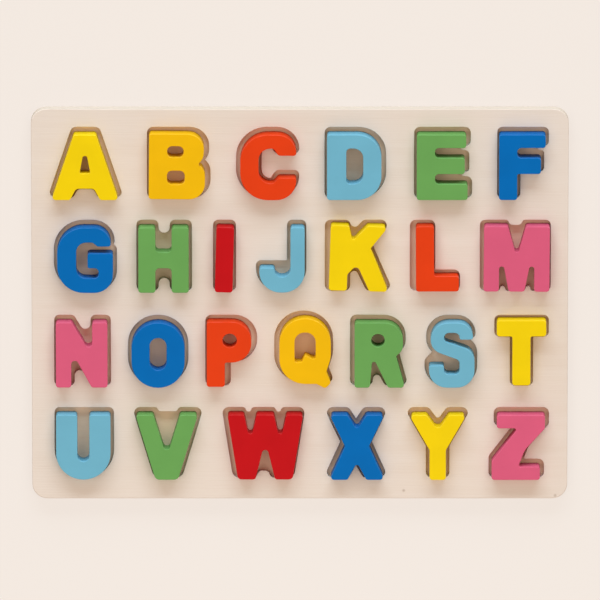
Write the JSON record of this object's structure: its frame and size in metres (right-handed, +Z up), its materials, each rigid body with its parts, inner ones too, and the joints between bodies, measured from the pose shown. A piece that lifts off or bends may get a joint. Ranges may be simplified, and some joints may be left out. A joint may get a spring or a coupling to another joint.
{
  "type": "alphabet puzzle",
  "caption": "Wooden alphabet puzzle: a plywood tray with a cut-out for each capital letter, and thick painted letters that lie in them and lift out.",
  "frame": {"origin": "on the table, under the middle of the tray", "axes": "+X along the rows of letters in reading direction, +Y towards the first row, +Z up out of the tray"},
  "size_m": [0.2996, 0.2258, 0.012],
  "materials": {
    "tray_wood": "bare pale plywood, sanded",
    "paint_yellow": "satin paint over wood",
    "paint_amber": "satin paint over wood",
    "paint_orange": "satin paint over wood",
    "paint_red": "satin paint over wood",
    "paint_sky_blue": "satin paint over wood",
    "paint_green": "satin paint over wood",
    "paint_blue": "satin paint over wood",
    "paint_pink": "satin paint over wood"
  },
  "bodies": {
    "tray": {"tray_base": "tray_wood", "tray_panel": "tray_wood"},
    "letter_a": {"letter_a": "paint_yellow"},
    "letter_b": {"letter_b": "paint_amber"},
    "letter_c": {"letter_c": "paint_orange"},
    "letter_d": {"letter_d": "paint_sky_blue"},
    "letter_e": {"letter_e": "paint_green"},
    "letter_f": {"letter_f": "paint_blue"},
    "letter_g": {"letter_g": "paint_blue"},
    "letter_h": {"letter_h": "paint_green"},
    "letter_i": {"letter_i": "paint_red"},
    "letter_j": {"letter_j": "paint_sky_blue"},
    "letter_k": {"letter_k": "paint_yellow"},
    "letter_l": {"letter_l": "paint_orange"},
    "letter_m": {"letter_m": "paint_pink"},
    "letter_n": {"letter_n": "paint_pink"},
    "letter_o": {"letter_o": "paint_blue"},
    "letter_p": {"letter_p": "paint_orange"},
    "letter_q": {"letter_q": "paint_amber"},
    "letter_r": {"letter_r": "paint_green"},
    "letter_s": {"letter_s": "paint_sky_blue"},
    "letter_t": {"letter_t": "paint_yellow"},
    "letter_u": {"letter_u": "paint_sky_blue"},
    "letter_v": {"letter_v": "paint_green"},
    "letter_w": {"letter_w": "paint_red"},
    "letter_x": {"letter_x": "paint_blue"},
    "letter_y": {"letter_y": "paint_yellow"},
    "letter_z": {"letter_z": "paint_pink"}
  },
  "joints": [
    {"name": "letter_a_lift", "type": "slide", "parent": "tray", "child": "letter_a", "axis": [0, 0, 1], "range_m": [0, 0.03]},
    {"name": "letter_b_lift", "type": "slide", "parent": "tray", "child": "letter_b", "axis": [0, 0, 1], "range_m": [0, 0.03]},
    {"name": "letter_c_lift", "type": "slide", "parent": "tray", "child": "letter_c", "axis": [0, 0, 1], "range_m": [0, 0.03]},
    {"name": "letter_d_lift", "type": "slide", "parent": "tray", "child": "letter_d", "axis": [0, 0, 1], "range_m": [0, 0.03]},
    {"name": "letter_e_lift", "type": "slide", "parent": "tray", "child": "letter_e", "axis": [0, 0, 1], "range_m": [0, 0.03]},
    {"name": "letter_f_lift", "type": "slide", "parent": "tray", "child": "letter_f", "axis": [0, 0, 1], "range_m": [0, 0.03]},
    {"name": "letter_g_lift", "type": "slide", "parent": "tray", "child": "letter_g", "axis": [0, 0, 1], "range_m": [0, 0.03]},
    {"name": "letter_h_lift", "type": "slide", "parent": "tray", "child": "letter_h", "axis": [0, 0, 1], "range_m": [0, 0.03]},
    {"name": "letter_i_lift", "type": "slide", "parent": "tray", "child": "letter_i", "axis": [0, 0, 1], "range_m": [0, 0.03]},
    {"name": "letter_j_lift", "type": "slide", "parent": "tray", "child": "letter_j", "axis": [0, 0, 1], "range_m": [0, 0.03]},
    {"name": "letter_k_lift", "type": "slide", "parent": "tray", "child": "letter_k", "axis": [0, 0, 1], "range_m": [0, 0.03]},
    {"name": "letter_l_lift", "type": "slide", "parent": "tray", "child": "letter_l", "axis": [0, 0, 1], "range_m": [0, 0.03]},
    {"name": "letter_m_lift", "type": "slide", "parent": "tray", "child": "letter_m", "axis": [0, 0, 1], "range_m": [0, 0.03]},
    {"name": "letter_n_lift", "type": "slide", "parent": "tray", "child": "letter_n", "axis": [0, 0, 1], "range_m": [0, 0.03]},
    {"name": "letter_o_lift", "type": "slide", "parent": "tray", "child": "letter_o", "axis": [0, 0, 1], "range_m": [0, 0.03]},
    {"name": "letter_p_lift", "type": "slide", "parent": "tray", "child": "letter_p", "axis": [0, 0, 1], "range_m": [0, 0.03]},
    {"name": "letter_q_lift", "type": "slide", "parent": "tray", "child": "letter_q", "axis": [0, 0, 1], "range_m": [0, 0.03]},
    {"name": "letter_r_lift", "type": "slide", "parent": "tray", "child": "letter_r", "axis": [0, 0, 1], "range_m": [0, 0.03]},
    {"name": "letter_s_lift", "type": "slide", "parent": "tray", "child": "letter_s", "axis": [0, 0, 1], "range_m": [0, 0.03]},
    {"name": "letter_t_lift", "type": "slide", "parent": "tray", "child": "letter_t", "axis": [0, 0, 1], "range_m": [0, 0.03]},
    {"name": "letter_u_lift", "type": "slide", "parent": "tray", "child": "letter_u", "axis": [0, 0, 1], "range_m": [0, 0.03]},
    {"name": "letter_v_lift", "type": "slide", "parent": "tray", "child": "letter_v", "axis": [0, 0, 1], "range_m": [0, 0.03]},
    {"name": "letter_w_lift", "type": "slide", "parent": "tray", "child": "letter_w", "axis": [0, 0, 1], "range_m": [0, 0.03]},
    {"name": "letter_x_lift", "type": "slide", "parent": "tray", "child": "letter_x", "axis": [0, 0, 1], "range_m": [0, 0.03]},
    {"name": "letter_y_lift", "type": "slide", "parent": "tray", "child": "letter_y", "axis": [0, 0, 1], "range_m": [0, 0.03]},
    {"name": "letter_z_lift", "type": "slide", "parent": "tray", "child": "letter_z", "axis": [0, 0, 1], "range_m": [0, 0.03]}
  ]
}
